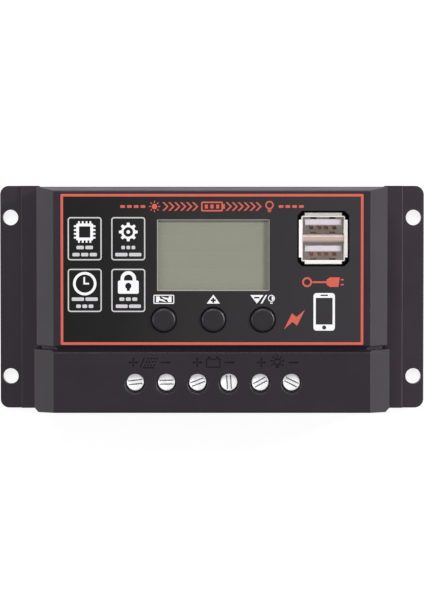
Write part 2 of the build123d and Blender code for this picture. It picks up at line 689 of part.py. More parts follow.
# ---- Terminals ----------------------------------------------------------------------------------
def contact_tail_places():
    """Where the terminal contacts' twin tails pass through the main board."""
    return [(x + dx, -20.0) for x in pole_xs() for dx in (-1.3, 1.3)]


def terminal_block():
    """The six-pole block: clamp wells, screw wells and wire mouths."""
    x0, x1 = CENTRE_X - BLOCK_HALF_WIDTH, CENTRE_X + BLOCK_HALF_WIDTH
    body = block(x0, x1, *BLOCK_Y, MAIN_BOARD_TOP, BLOCK_TOP_Z)
    body = chamfer(body.edges().filter_by(Axis.X).sort_by(Axis.Z)[-2:], 0.8)
    nose = block(x0 + 0.2, x1 - 0.2, BLOCK_NOSE_Y, BLOCK_Y[0] + 1, MAIN_BOARD_TOP + 0.2, BLOCK_NOSE_TOP)
    body = fuse([body, nose])
    cuts = []
    for x in pole_xs():
        well_z = (CLAMP_BOTTOM_Z - 0.1, 27.9)
        cuts.append(centred(x, POLE_Y, 7.0, 7.2, *well_z))
        cuts.append(block(x - 2.9, x + 2.9, BLOCK_NOSE_Y - 1, POLE_Y, 16.1, 21.7))
        cuts.append(block(x - 3.4, x + 3.4, BLOCK_NOSE_Y - 1, BLOCK_NOSE_Y + 0.8, 15.6, 22.2))
        cuts.append(block(x - 2.4, x + 2.4, POLE_Y, -19.2, MAIN_BOARD_TOP - 1, 22.9))
        cuts.append(disc(x, POLE_Y, 27, BLOCK_TOP_Z, SCREW_RADIUS + 0.25))
        cuts.append(disc(x, POLE_Y, SCREW_HEAD_Z - 0.05, BLOCK_TOP_Z + 1, SCREW_HOLE_RADIUS))
    return body - cuts


def terminal_contact(x):
    """One pole's fixed contact: the bar over the wire, the drop behind the clamp, and the tails."""
    bar_top = block(x - 2.2, x + 2.2, -27.8, -19.4, *CONTACT_BAR_Z)
    drop = block(x - 2.2, x + 2.2, -20.6, -19.4, 15.0, CONTACT_BAR_Z[1])
    tails = [block(x + dx - 0.6, x + dx + 0.6, -20.5, -19.5, 11.0, 15.0) for dx in (-1.3, 1.3)]
    return fuse([bar_top, drop, *tails])


def wire_clamp(x):
    """One rising clamp at its lowest place, with a ribbed floor and the screw's bore."""
    clamp = centred(x, POLE_Y, 2 * CLAMP_HALF_X, 2 * CLAMP_HALF_Y, CLAMP_BOTTOM_Z, CLAMP_TOP_Z)
    clamp = chamfer(clamp.edges().filter_by(Axis.Y), 0.3)
    clamp -= centred(x, POLE_Y, 2 * CLAMP_MOUTH_HALF, 3 * CLAMP_HALF_Y, *CLAMP_MOUTH_Z)
    clamp -= disc(x, POLE_Y, CLAMP_MOUTH_Z[1] - 1, CLAMP_TOP_Z + 1, SCREW_RADIUS + 0.06)
    for k in (-1, 0, 1):
        clamp -= centred(
            x, POLE_Y + 1.8 * k, 2 * CLAMP_MOUTH_HALF, 0.6, CLAMP_MOUTH_Z[0] - 0.25, CLAMP_MOUTH_Z[0] + 1
        )
    return clamp


def terminal_screw(x, angle):
    """One clamp screw with a domed slotted head, its slot turned to angle."""
    head = disc(x, POLE_Y, SCREW_HEAD_Z, SCREW_HEAD_TOP, SCREW_HEAD_RADIUS)
    head = fillet(head.edges().sort_by(Axis.Z)[-1], 0.3)
    shank = disc(x, POLE_Y, SCREW_TIP_Z, SCREW_HEAD_Z, SCREW_RADIUS)
    shank = chamfer(shank.edges().sort_by(Axis.Z)[0], 0.4)
    half = SLOT_FLOOR_WIDTH / 2
    right = [
        (half, SCREW_HEAD_TOP - SLOT_DEPTH),
        (half + 2 * SLOT_FLARE, SCREW_HEAD_TOP + SLOT_DEPTH),
    ]
    outline = [(-y, z) for y, z in right[::-1]] + right
    slot = prism_along_x(outline, -2 * SCREW_HEAD_RADIUS, 2 * SCREW_HEAD_RADIUS)
    return fuse([head, shank]) - Pos(x, POLE_Y, 0) * Rot(0, 0, angle) * slot


# ---- Power parts on and under the main board ----------------------------------------------------
LEAD_PITCH = 2.54


def transistor_lead_places():
    """Where the transistor leads pass up through the main board."""
    y = TRANSISTOR_Y - 3.0
    return [(x + dx, y) for x in TRANSISTOR_XS for dx in (-LEAD_PITCH, 0, LEAD_PITCH)]


def heat_sink():
    """The aluminium plate over the vents, ribbed underneath, drilled for the transistor screws."""
    sink = block(-34, 34, -6, 24, *SINK_Z)
    sink = chamfer(sink.faces().sort_by(Axis.Z)[-1].outer_wire().edges(), 0.5)
    cuts = [block(-28.5, 28.5, y - 0.9, y + 0.9, 0, SINK_Z[0] + 1.0) for y in range(-3, 23, 4)]
    cuts += [disc(x, TAB_HOLE_Y, 0, 10, 1.5) for x in TRANSISTOR_XS]
    return sink - cuts


def transistor(x):
    """One flat power transistor: its pad, tab, body and three leads."""
    z0 = SINK_Z[1] + PAD_THICKNESS
    y0 = TRANSISTOR_Y
    hole = disc(x, TAB_HOLE_Y, 0, 20, 1.85)
    pad = block(x - 5.3, x + 5.3, y0 - 0.2, y0 + 15.6, SINK_Z[1], z0) - hole
    tab = block(x - 5.1, x + 5.1, y0, y0 + 15.4, z0, z0 + TAB_THICKNESS)
    tab = chamfer(tab.edges().filter_by(Axis.Z).sort_by(Axis.Y)[-2:], 1.0) - hole
    body = block(x - 5.1, x + 5.1, y0, y0 + 9.0, z0 + TAB_THICKNESS, z0 + 4.4)
    body = chamfer(body.faces().sort_by(Axis.Z)[-1].edges(), 0.5)
    leads = []
    for dx in (-LEAD_PITCH, 0, LEAD_PITCH):
        out = block(x + dx - 0.4, x + dx + 0.4, y0 - 3.25, y0, z0 + 2.2, z0 + 2.7)
        rise = block(x + dx - 0.4, x + dx + 0.4, y0 - 3.25, y0 - 2.75, z0 + 2.2, MAIN_BOARD_TOP + 1)
        leads.append(fuse([out, rise]))
    return pad, tab, body, leads


def transistor_screw(x):
    """The screw that holds one transistor to the heat sink."""
    seat = SINK_Z[1] + PAD_THICKNESS + TAB_THICKNESS
    return pan_screw(x, TAB_HOLE_Y, seat, 2.7, 1.9, 1.4, SINK_Z[0] + 0.2)


def capacitor(x, y, radius, height):
    """One upright capacitor: the can with its crimp groove and vent cross, and its sleeve."""
    z0 = MAIN_BOARD_TOP
    sleeve_t = 0.2
    can = disc(x, y, z0, z0 + height, radius - sleeve_t)
    can = fillet(can.edges().sort_by(Axis.Z)[-1], 0.6)
    for turn in (0, 90):
        can -= Pos(x, y, z0 + height) * Rot(0, 0, turn) * Box(radius * 1.2, 0.3, 0.4)
    sleeve = disc(x, y, z0, z0 + height - 0.7, radius)
    sleeve -= disc(x, y, z0 - 1, z0 + height + 1, radius - sleeve_t)
    return can, sleeve


def drum_coil(x, y):
    """A drum inductor: the flanged core and the winding between its flanges."""
    z0 = MAIN_BOARD_TOP
    core = fuse([
        disc(x, y, z0, z0 + 1.5, 6.0),
        disc(x, y, z0 + 1.5, z0 + 7.5, 2.8),
        disc(x, y, z0 + 7.5, z0 + 9.0, 6.0),
    ])
    winding = disc(x, y, z0 + 1.55, z0 + 7.45, 5.2) - disc(x, y, z0, z0 + 9, 2.85)
    winding = fillet(winding.edges().filter_by(GeomType.CIRCLE).sort_by(Axis.Z)[-2:], 0.4)
    return core, winding


def chip(x, y, width, height, thickness, leads_each_side, pitch, four_sided):
    """A surface-mount package and its gull-wing leads, as a list of solids."""
    z0 = MAIN_BOARD_TOP
    body = centred(x, y, width, height, z0 + 0.1, z0 + 0.1 + thickness)
    body = chamfer(body.faces().sort_by(Axis.Z)[-1].edges(), 0.15)
    body -= disc(x - width * 0.32, y + height * 0.32, z0 + thickness, z0 + thickness + 1, 0.4)
    leads = []
    for k in range(leads_each_side):
        offset = pitch * (k - (leads_each_side - 1) / 2)
        for side in (-1, 1):
            lead_y = y + side * (height / 2 + 0.5)
            leads.append(centred(x + offset, lead_y, pitch * 0.4, 1.0, z0, z0 + 0.5))
            if four_sided:
                lead_x = x + side * (width / 2 + 0.5)
                leads.append(centred(lead_x, y + offset, 1.0, pitch * 0.4, z0, z0 + 0.5))
    return body, leads


def shunt_wire(x, y):
    """One current-sensing wire, bent to a hoop that stands on the board."""
    z0 = MAIN_BOARD_TOP
    path = FilletPolyline(
        (x - 4, y, z0), (x - 4, y, z0 + 4.5), (x + 4, y, z0 + 4.5), (x + 4, y, z0), radius=1.6
    )
    return sweep(Plane(origin=path @ 0, z_dir=path % 0) * Circle(0.6), path)


def temperature_sensor():
    """The bead on two legs that senses the heat inside the case."""
    z0 = MAIN_BOARD_TOP
    x, y = 16.0, 23.5
    bead = Pos(x, y, z0 + 5.5) * Sphere(1.4)
    legs = [disc(x + dx, y, z0, z0 + 5.0, 0.25) for dx in (-0.6, 0.6)]
    return fuse([bead, *legs])


# ---- Build --------------------------------------------------------------------------------------
def build_case():
    save("rear_base", rear_base())
    save("main_cover", main_cover())
    save("terminal_cover", terminal_cover())
    save("case_screws", *case_screws())


def build_face():
    save("face_label", face_label())
    save("window_lens", window_lens())
    for name, x in zip(("menu", "up", "down"), key_xs()):
        save(f"{name}_key", key_cap(x))
        save(f"{name}_switch_plunger", switch_plunger(x))
    save("key_switch_bodies", *[switch_body(x) for x in key_xs()])


def build_display():
    save("display_glass", *display_glass())
    save("display_polariser", display_polariser())
    save("display_backlight", display_backlight())
    save("display_pins", *display_pins())
    save("display_board", display_board())


def build_boards():
    save("main_board", main_board())
    save("board_spacers", *[board_spacer(x, y) for x, y in SPACER_PLACES])
    save("spacer_screws", *[
        pan_screw(x, y, DISPLAY_BOARD_TOP, 2.1, 1.5, 1.1, 19.0) for x, y in SPACER_PLACES
    ])
    save("board_screws", *[
        pan_screw(x, y, MAIN_BOARD_TOP, 2.6, 1.9, 1.4, 6.5) for x, y in POST_PLACES
    ])
    strip, pins = header()
    save("board_header_strip", strip)
    save("board_header_pins", *pins)


def build_socket():
    contacts = socket_contacts()
    save("socket_shell", socket_shell())
    save("socket_tongues", *socket_tongues(contacts))
    save("socket_contacts", *contacts)


def build_terminals():
    save("terminal_block", terminal_block())
    save("terminal_contacts", *[terminal_contact(x) for x in pole_xs()])
    for name, x, angle in zip(POLE_NAMES, pole_xs(), SLOT_ANGLES):
        save(f"{name}_screw", terminal_screw(x, angle))
        save(f"{name}_clamp", wire_clamp(x))


def build_power_parts():
    save("heat_sink", heat_sink())
    pads, tabs, bodies, leads = zip(*[transistor(x) for x in TRANSISTOR_XS])
    save("thermal_pads", *pads)
    save("transistor_tabs", *tabs)
    save("transistor_bodies", *bodies)
    save("transistor_leads", *[lead for group in leads for lead in group])
    save("transistor_screws", *[transistor_screw(x) for x in TRANSISTOR_XS])
    cans, sleeves = zip(
        capacitor(-37.5, 20.5, 6.25, 16), capacitor(-37.5, 5.5, 6.25, 16), capacitor(-37, -7, 4, 12)
    )
    save("capacitor_cans", *cans)
    save("capacitor_sleeves", *sleeves)
    core, winding = drum_coil(38.0, 0.0)
    save("inductor_core", core)
    save("inductor_winding", winding)
    body, leads = chip(-6.0, 9.0, 10.0, 10.0, 1.4, 11, 0.8, True)
    save("controller_chip", body)
    drivers = [chip(x, y, 5.0, 4.0, 1.5, 4, 1.27, False) for x, y in ((10, 17), (10, 6), (36, -12))]
    save("driver_chips", *[body for body, _ in drivers])
    save("chip_leads", *leads, *[lead for _, group in drivers for lead in group])
    save("current_shunts", shunt_wire(-12.0, -11.0), shunt_wire(2.0, -11.0))
    save("temperature_sensor", temperature_sensor())


build_case()
build_face()
build_display()
build_boards()
build_socket()
build_terminals()
build_power_parts()
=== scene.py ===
"""Looks for the solar charge controller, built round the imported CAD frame.

Everything is in metres in the frame's own axes: the case lies on its back with its face up, +X to
the right of the face and +Y towards its top edge. Drawn sizes on the face are in millimetres.
"""
import json
import math

import bmesh
import bpy
from mathutils import Matrix, Vector
from mathutils.geometry import tessellate_polygon


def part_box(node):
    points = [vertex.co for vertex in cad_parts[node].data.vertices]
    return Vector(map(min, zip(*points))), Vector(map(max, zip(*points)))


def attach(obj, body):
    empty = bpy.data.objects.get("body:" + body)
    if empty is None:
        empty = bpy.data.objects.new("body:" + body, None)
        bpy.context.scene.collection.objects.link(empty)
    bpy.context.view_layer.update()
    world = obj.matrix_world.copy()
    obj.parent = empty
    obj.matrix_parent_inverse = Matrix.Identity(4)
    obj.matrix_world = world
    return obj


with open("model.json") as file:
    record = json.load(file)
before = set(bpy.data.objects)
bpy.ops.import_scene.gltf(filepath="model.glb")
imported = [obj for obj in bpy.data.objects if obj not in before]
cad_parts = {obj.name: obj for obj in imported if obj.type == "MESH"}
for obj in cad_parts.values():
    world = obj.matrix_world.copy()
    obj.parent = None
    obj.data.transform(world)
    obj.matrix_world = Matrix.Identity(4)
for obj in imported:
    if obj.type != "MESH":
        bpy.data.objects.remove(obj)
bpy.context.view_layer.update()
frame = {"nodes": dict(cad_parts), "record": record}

MM = 0.001
NODES = frame["nodes"]
POLES = ("panel_plus", "panel_minus", "battery_plus", "battery_minus", "load_plus", "load_minus")
KEYS = ("menu", "up", "down")


def middle(node):
    """The middle of a CAD node's box, in millimetres."""
    low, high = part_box(node)
    return (low + high) / 2 / MM


# ---- Material tools -----------------------------------------------------------------------------
def linear(red, green, blue):
    """A colour given as display values from 0 to 255, as linear light."""
    def channel(value):
        value /= 255
        return value / 12.92 if value <= 0.04045 else ((value + 0.055) / 1.055) ** 2.4
    return (channel(red), channel(green), channel(blue), 1.0)


def scaled(colour, factor):
    """A colour made lighter or darker."""
    return tuple(c * factor for c in colour[:3]) + (1.0,)


def grey(value):
    """A neutral tone, as linear light."""
    return (value, value, value, 1.0)


NOISE_ROUGHNESS = 0.55


class Finish:
    """A node material round one Principled shader, with the few kinds of detail used here."""

    def __init__(self, name, **sockets):
        self.material = bpy.data.materials.new(name)
        self.material.use_nodes = True
        self.tree = self.material.node_tree
        self.tree.nodes.clear()
        self.output = self.tree.nodes.new("ShaderNodeOutputMaterial")
        self.shader = self.tree.nodes.new("ShaderNodeBsdfPrincipled")
        self.tree.links.new(self.shader.outputs["BSDF"], self.output.inputs["Surface"])
        self.place = self.tree.nodes.new("ShaderNodeTexCoord").outputs["Object"]
        for socket, value in sockets.items():
            self.shader.inputs[socket.replace("_", " ")].default_value = value

    def node(self, kind, **values):
        """Adds a node and sets its properties."""
        made = self.tree.nodes.new(kind)
        for key, value in values.items():
            setattr(made, key, value)
        return made

    def link(self, source, target):
        self.tree.links.new(source, target)

    def noise(self, size_mm, detail=3.0, stretch=(1, 1, 1)):
        """Noise whose features are about size_mm across, drawn out along the axes in stretch."""
        mapping = self.node("ShaderNodeMapping")
        mapping.inputs["Scale"].default_value = [1 / s for s in stretch]
        self.link(self.place, mapping.inputs["Vector"])
        noise = self.node("ShaderNodeTexNoise")
        noise.inputs["Scale"].default_value = 1 / (size_mm * MM)
        noise.inputs["Detail"].default_value = detail
        noise.inputs["Roughness"].default_value = NOISE_ROUGHNESS
        self.link(mapping.outputs["Vector"], noise.inputs["Vector"])
        return noise.outputs["Fac"]

    def ramp(self, fac, *stops):
        """A colour ramp of (position, colour) stops."""
        ramp = self.node("ShaderNodeValToRGB")
        elements = ramp.color_ramp.elements
        while len(elements) < len(stops):
            elements.new(0.5)
        for element, (position, colour) in zip(elements, stops):
            element.position = position
            element.color = colour
        self.link(fac, ramp.inputs["Fac"])
        return ramp.outputs["Color"]

    def span(self, fac, low, high, from_low=0.3, from_high=0.7):
        """A value stretched to run from low to high."""
        node = self.node("ShaderNodeMapRange")
        node.inputs["From Min"].default_value = from_low
        node.inputs["From Max"].default_value = from_high
        node.inputs["To Min"].default_value = low
        node.inputs["To Max"].default_value = high
        self.link(fac, node.inputs["Value"])
        return node.outputs["Result"]

    def share(self, axis, node):
        """How far along one axis of a CAD node's box a point is, from 0 to 1."""
        low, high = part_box(node)
        split = self.node("ShaderNodeSeparateXYZ")
        self.link(self.place, split.inputs["Vector"])
        ends = (low["XYZ".index(axis)], high["XYZ".index(axis)])
        return self.span(split.outputs[axis], 0.0, 1.0, *ends)

    def along(self, axis, node, *stops):
        """Colour that changes along one axis of a CAD node's box."""
        self.link(self.ramp(self.share(axis, node), *stops), self.shader.inputs["Base Color"])
        return self

    def mottle(self, dark, light, size_mm, **noise):
        """Colour that wanders between two tones."""
        colour = self.ramp(self.noise(size_mm, **noise), (0.3, dark), (0.7, light))
        self.link(colour, self.shader.inputs["Base Color"])
        return self

    def uneven_gloss(self, low, high, size_mm, **noise):
        """Roughness that wanders between two values."""
        rough = self.span(self.noise(size_mm, **noise), low, high)
        self.link(rough, self.shader.inputs["Roughness"])
        return self

    def bumps(self, size_mm, depth_mm, strength=0.5, **noise):
        """A fine relief, on top of any relief that is there already."""
        bump = self.node("ShaderNodeBump")
        bump.inputs["Distance"].default_value = depth_mm * MM
        bump.inputs["Strength"].default_value = strength
        self.link(self.noise(size_mm, **noise), bump.inputs["Height"])
        target = self.shader.inputs["Normal"]
        if target.is_linked:
            self.link(target.links[0].from_socket, bump.inputs["Normal"])
        self.link(bump.outputs["Normal"], target)
        return self


# ---- Case, label and keys -----------------------------------------------------------------------
# Same black plastic as the cover, but lighter: painted light that offsets the case's shade on the
# ears.
BASE_TONE_PAINTED_LIGHTER = linear(41, 28, 41)
CASE_TONE = linear(25, 11, 26)
KEY_TONE = linear(22, 17, 24)


def moulded_case(name, tone):
    """Spark-eroded black plastic with a faint purple cast."""
    finish = Finish(name, Specular_IOR_Level=0.5)
    finish.mottle(scaled(tone, 0.86), scaled(tone, 1.16), 9.0, detail=4.0)
    finish.uneven_gloss(0.44, 0.50, 14.0)
    finish.bumps(0.32, 0.02, 0.35, detail=2.0)
    finish.bumps(30.0, 0.12, 0.05, detail=1.0)
    return finish.material


def key_plastic():
    """The keys' black plastic, smoother than the case."""
    finish = Finish("key_moulding", Specular_IOR_Level=0.5, Coat_Weight=0.2, Coat_Roughness=0.4)
    finish.mottle(scaled(KEY_TONE, 0.86), scaled(KEY_TONE, 1.16), 3.0)
    finish.uneven_gloss(0.36, 0.40, 3.0)
    finish.bumps(0.8, 0.01, 0.05, detail=1.0)
    return finish.material


def printed_film():
    """Satin black label film, with a painted reflection: deepest at the left edge, greyer to the
    right.
    """
    finish = Finish("label_film", Specular_IOR_Level=0.3)
    # Painted reflection: the film greys from its left edge to the right, as if mirroring a light.
    finish.along(
        "X", "face_label", (0.0, grey(0.003)), (0.18, grey(0.006)),
        (0.42, (0.0185, 0.0155, 0.017, 1)), (1.0, (0.030, 0.028, 0.031, 1)),
    )
    finish.uneven_gloss(0.38, 0.42, 6.0, detail=4.0)
    finish.bumps(0.25, 0.006, 0.3)
    return finish.material


def print_ink(name, colour):
    """Screen-printed ink, with the slight unevenness of the mesh."""
    finish = Finish(name, Roughness=0.45)
    finish.mottle(scaled(colour, 0.94), scaled(colour, 1.04), 0.8, detail=4.0)
    finish.bumps(0.2, 0.004, 0.3)
    return finish.material


# ---- Display ------------------------------------------------------------------------------------
def clear_lens():
    """Clear acrylic: seen through straight on, mirror-like at a glancing angle."""
    finish = Finish("window_acrylic")
    clear = finish.node("ShaderNodeBsdfTransparent")
    clear.inputs["Color"].default_value = (0.97, 0.98, 0.97, 1.0)
    gloss = finish.node("ShaderNodeBsdfGlossy")
    smears = finish.span(finish.noise(5.0, detail=5.0, stretch=(3, 1, 1)), 0.03, 0.12)
    finish.link(smears, gloss.inputs["Roughness"])
    facing = finish.node("ShaderNodeLayerWeight").outputs["Facing"]
    mirror = finish.ramp(
        facing, (0.0, grey(0.03)), (0.6, grey(0.05)), (0.85, grey(0.25)), (1.0, grey(1.0))
    )
    mix = finish.node("ShaderNodeMixShader")
    finish.link(mirror, mix.inputs["Fac"])
    finish.link(clear.outputs["BSDF"], mix.inputs[1])
    finish.link(gloss.outputs["BSDF"], mix.inputs[2])
    finish.link(mix.outputs["Shader"], finish.output.inputs["Surface"])
    finish.tree.nodes.remove(finish.shader)
    return finish.material


def polariser_film():
    """The grey-green reflective film of an unlit display, with a very fine grain."""
    finish = Finish("display_film", Specular_IOR_Level=0.3)
    tone = linear(149, 147, 134)
    finish.mottle(scaled(tone, 0.97), scaled(tone, 1.02), 0.25, detail=2.0)
    finish.uneven_gloss(0.45, 0.55, 8.0)
    return finish.material


# ---- Metals -------------------------------------------------------------------------------------
def metal(name, colour, low, high, grain_mm, stretch=(1, 1, 1), metallic=1.0):
    """A metal with uneven gloss and fine scratches along the stretched axis."""
    finish = Finish(name, Metallic=metallic)
    finish.mottle(scaled(colour, 0.9), scaled(colour, 1.04), 2.5, detail=4.0)
    finish.uneven_gloss(low, high, grain_mm * 4, stretch=stretch, detail=4.0)
    finish.bumps(grain_mm, 0.01, 0.2, stretch=stretch)
    return finish.material


def socket_nickel():
    """Pale nickel sheet, with a warm band between the two ports and painted shade on its edges."""
    finish = Finish("nickel_sheet", Metallic=0.3)
    sheet, shade, warm = linear(250, 247, 242), linear(140, 130, 126), linear(198, 176, 169)
    band = finish.share("Y", "socket_shell")
    # The shade stops at the band's edges are painted shade where the bridge rounds away.
    tone = finish.ramp(
        band, (0.40, sheet), (0.41, shade), (0.47, warm), (0.56, warm), (0.59, shade), (0.60, sheet)
    )
    across = finish.share("X", "socket_shell")
    inside = finish.ramp(
        across, (0.07, grey(0)), (0.08, grey(1)), (0.92, grey(1)), (0.93, grey(0))
    )
    mix = finish.node("ShaderNodeMix", data_type="RGBA")
    mix.inputs["A"].default_value = sheet
    finish.link(inside, mix.inputs["Factor"])
    finish.link(tone, mix.inputs["B"])
    finish.link(mix.outputs["Result"], finish.shader.inputs["Base Color"])
    finish.uneven_gloss(0.34, 0.48, 2.0, stretch=(1, 1, 6))
    finish.bumps(0.5, 0.01, 0.2, stretch=(1, 1, 6))
    return finish.material


def socket_plastic():
    """Milky lavender plastic, with a painted warm glow at the foot of the ports."""
    finish = Finish("tongue_white", Emission_Strength=1.0)
    finish.mottle(linear(200, 193, 201), linear(208, 201, 209), 3.0)
    # Painted light: a warm emission at the foot of the ports, where little light reaches.
    foot = finish.share("Z", "socket_tongues")
    warm = (0.11, 0.095, 0.082, 1.0)
    glow = finish.ramp(foot, (0.0, warm), (0.6, warm), (0.75, grey(0.0)))
    finish.link(glow, finish.shader.inputs["Emission Color"])
    finish.uneven_gloss(0.4, 0.5, 3.0)
    finish.bumps(0.4, 0.01, 0.2)
    return finish.material


def screw_head():
    """Bright nickel, with a faint glow for the light that reaches down into the wells."""
    finish = Finish("screw_nickel", Metallic=0.2, Emission_Color=grey(1.0), Emission_Strength=0.36)
    finish.mottle(linear(244, 242, 247), linear(255, 254, 255), 1.2, detail=4.0)
    finish.uneven_gloss(0.4, 0.5, 1.5)
    finish.bumps(0.3, 0.01, 0.15)
    return finish.material


# ---- Moulded and inner parts --------------------------------------------------------------------
def plain_plastic(name, colour, low, high, grain_mm=0.4, subsurface=0.0):
    """A moulded part with a little flow mottle and a fine grain."""
    finish = Finish(name, Subsurface_Weight=subsurface, Subsurface_Scale=0.001)
    finish.mottle(scaled(colour, 0.92), scaled(colour, 1.05), 3.0)
    finish.uneven_gloss(low, high, 5.0)
    finish.bumps(grain_mm, 0.01, 0.25)
    return finish.material


def circuit_board():
    """Green solder mask over faint copper, with the weave of the laminate under it."""
    finish = Finish("solder_mask", Coat_Weight=0.4, Coat_Roughness=0.15)
    finish.mottle(linear(12, 70, 40), linear(20, 96, 54), 4.0, detail=1.0)
    finish.uneven_gloss(0.3, 0.45, 3.0)
    finish.bumps(0.5, 0.01, 0.3, stretch=(1, 4, 1))
    return finish.material


def capacitor_sleeve():
    """Dark shrink film with one pale stripe down the side."""
    finish = Finish("capacitor_film", Coat_Weight=0.3, Coat_Roughness=0.1)
    pale, dark = linear(150, 155, 165), linear(20, 26, 52)
    finish.along("X", "capacitor_sleeves", (0.0, pale), (0.12, pale), (0.13, dark), (1.0, dark))
    finish.uneven_gloss(0.25, 0.35, 3.0)
    finish.bumps(2.0, 0.03, 0.3, stretch=(1, 1, 4))
    return finish.material


def wound_copper():
    """Enamelled wire in close turns, as fine rings up the coil."""
    finish = Finish("enamelled_copper", Metallic=0.85, Coat_Weight=0.5)
    finish.mottle(linear(150, 74, 38), linear(186, 98, 54), 1.0)
    finish.uneven_gloss(0.2, 0.35, 1.0)
    finish.bumps(0.45, 0.08, 0.6, stretch=(40, 40, 1), detail=0.0)
    return finish.material


STEEL = linear(196, 196, 198)
TIN = linear(206, 206, 204)
GOLD = linear(214, 172, 96)
BRASS = linear(206, 170, 96)
ALUMINIUM = linear(214, 215, 217)
CAN_METAL = linear(214, 215, 218)
NYLON = linear(226, 222, 208)
ACRYLIC = linear(228, 230, 224)

SLOT_MATERIALS = {
    "base_plastic": moulded_case("base_moulding", BASE_TONE_PAINTED_LIGHTER),
    "cover_plastic": moulded_case("cover_moulding", CASE_TONE),
    "steel": metal("zinc_plate", STEEL, 0.28, 0.4, 0.4),
    "label": printed_film(),
    "window": clear_lens(),
    "key_plastic": key_plastic(),
    "switch_plunger": plain_plastic("plunger_nylon", NYLON, 0.35, 0.45, subsurface=0.1),
    "switch_body": plain_plastic("switch_black", linear(30, 30, 31), 0.3, 0.4),
    "display_glass": plain_plastic("cell_glass", linear(150, 156, 150), 0.08, 0.14),
    "polariser": polariser_film(),
    "light_guide": plain_plastic("milky_acrylic", ACRYLIC, 0.2, 0.3, subsurface=0.2),
    "tinned": metal("tin_plate", TIN, 0.3, 0.42, 0.5),
    "circuit_board": circuit_board(),
    "brass": metal("turned_brass", BRASS, 0.22, 0.34, 0.15, stretch=(8, 8, 1)),
    "header_plastic": plain_plastic("header_black", linear(24, 24, 25), 0.4, 0.5),
    "gold_pins": metal("gold_plate", GOLD, 0.2, 0.3, 0.3),
    "socket_shell": socket_nickel(),
    "socket_plastic": socket_plastic(),
    "terminal_plastic": plain_plastic("block_black", linear(26, 27, 27), 0.4, 0.52, 0.3),
    "heat_sink": metal("extruded_aluminium", ALUMINIUM, 0.35, 0.48, 0.25, stretch=(1, 20, 1)),
    "thermal_pad": plain_plastic("silicone_pad", linear(160, 164, 172), 0.6, 0.75),
    "epoxy": plain_plastic("moulded_epoxy", linear(34, 34, 36), 0.5, 0.62, 0.25),
    "can_aluminium": metal("drawn_can", CAN_METAL, 0.25, 0.35, 0.3, stretch=(1, 1, 6)),
    "capacitor_sleeve": capacitor_sleeve(),
    "ferrite": plain_plastic("ferrite_grey", linear(54, 52, 52), 0.55, 0.7, 0.2),
    "copper": wound_copper(),
    "sensor_bead": plain_plastic("dipped_bead", linear(36, 34, 40), 0.15, 0.25, 1.0),
    "terminal_screw": screw_head(),
    "clamp_steel": metal("clamp_zinc", linear(206, 202, 186), 0.3, 0.42, 0.4),
}

for part in frame["record"]["subparts"]:
    for slot in NODES[part["node"]].material_slots:
        slot.material = SLOT_MATERIALS[part["material_slot"]]

RED_INK = print_ink("ink_red", linear(206, 90, 74))
WHITE_INK = print_ink("ink_white", linear(238, 238, 240))
GREY_INK = print_ink("ink_soft_white", linear(200, 198, 201))
# Painted shade for the slopes of the screw slots.
SLOT_PAINTED_SHADE = metal("slot_painted_shade", linear(150, 147, 152), 0.45, 0.6, 0.3, metallic=0.4)
# Contacts darker and browner than gold plate: partly bronze, partly painted shade under the
# tongues.
CONTACT_BRONZE_AND_SHADE = metal("contact_bronze_and_shade", linear(150, 100, 76), 0.35, 0.5, 0.3, metallic=0.6)
# Painted highlight for the lit edge of the display lens.
EDGE_HIGHLIGHT_PAINT = print_ink("window_edge_grey", linear(170, 170, 163))
SPRING_STEEL = metal("spring_steel", linear(84, 74, 72), 0.35, 0.5, 0.3, metallic=0.6)

NODES["socket_contacts"].material_slots[0].material = CONTACT_BRONZE_AND_SHADE


# ---- Flat outlines, in millimetres --------------------------------------------------------------
CORNER_STEPS = 6


def box_outline(x, y, width, height, radius=0.0):
    """A rectangle centred on (x, y), its corners rounded, as points running counter-clockwise."""
    half_w = width / 2 - radius
    half_h = height / 2 - radius
    if radius == 0:
        return [(x + i * half_w, y + j * half_h) for i, j in ((-1, -1), (1, -1), (1, 1), (-1, 1))]
    points = []
    for quarter, (i, j) in enumerate(((1, 1), (-1, 1), (-1, -1), (1, -1))):
        for step in range(CORNER_STEPS + 1):
            turn = math.radians(90 * (quarter + step / CORNER_STEPS))
            points.append((
                x + i * half_w + radius * math.cos(turn),
                y + j * half_h + radius * math.sin(turn),
            ))
    return points


def round_outline(x, y, radius, points=48, start=0.0, sweep=360.0):
    """A circle, or with a smaller sweep an arc of one, as points."""
    count = points if sweep >= 360 else points + 1
    turns = [math.radians(start + sweep * k / points) for k in range(count)]
    return [(x + radius * math.cos(t), y + radius * math.sin(t)) for t in turns]


def moved(points, x, y, angle=0.0):
    """Points turned about the origin and then moved to (x, y)."""
    c, s = math.cos(math.radians(angle)), math.sin(math.radians(angle))
    return [(x + c * px - s * py, y + s * px + c * py) for px, py in points]


def frame_shape(x, y, width, height, line, radius=0.0):
    """A rectangular line of even width, as one shape: its outline and its hole."""
    inner_radius = max(radius - line, 0.0)
    hole = box_outline(x, y, width - 2 * line, height - 2 * line, inner_radius)
    return [box_outline(x, y, width, height, radius), hole]


def ring_shape(x, y, outer, inner):
    """A round line, as one shape."""
    return [round_outline(x, y, outer), round_outline(x, y, inner)]


def chevron_shape(x, y, height, line):
    """An arrow head that points right."""
    half = height / 2
    back = [(-half / 2, half), (half / 2, 0), (-half / 2, -half)]
    outline = [(px - line / 2, py) for px, py in back]
    outline += [(px + line / 2, py) for px, py in back[::-1]]
    return [moved(outline, x, y)]


# ---- Thin raised prints -------------------------------------------------------------------------
PRINT_HEIGHT = 0.03 * MM
PRINT_ROOT = 0.01 * MM


